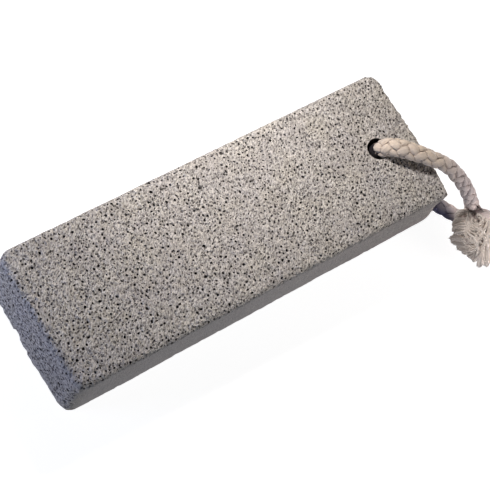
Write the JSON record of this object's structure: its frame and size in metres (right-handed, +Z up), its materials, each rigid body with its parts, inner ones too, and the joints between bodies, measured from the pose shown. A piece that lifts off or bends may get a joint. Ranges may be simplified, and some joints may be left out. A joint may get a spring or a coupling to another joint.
{
  "type": "pumice stone",
  "caption": "Rectangular bar of porous grey pumice for rubbing skin, with a braided cotton rope loop knotted through a hole near its end.",
  "frame": {"origin": "on the surface that the part rests on, below the middle of the bar's own box", "axes": "+X along the bar towards the end with the rope hole, +Y across the bar, +Z up"},
  "size_m": [0.1677, 0.0715, 0.0392],
  "materials": {
    "pumice": "dry, rough and full of small open pores",
    "cotton_rope": "undyed braided cotton, slightly greyed",
    "cotton_fray": "undyed cotton yarn, untwisted and fluffy"
  },
  "bodies": {
    "root": {"pumice_stone": "pumice", "rope_loop": "cotton_rope", "rope_knot": "cotton_rope", "frayed_tuft": "cotton_fray"}
  },
  "joints": []
}
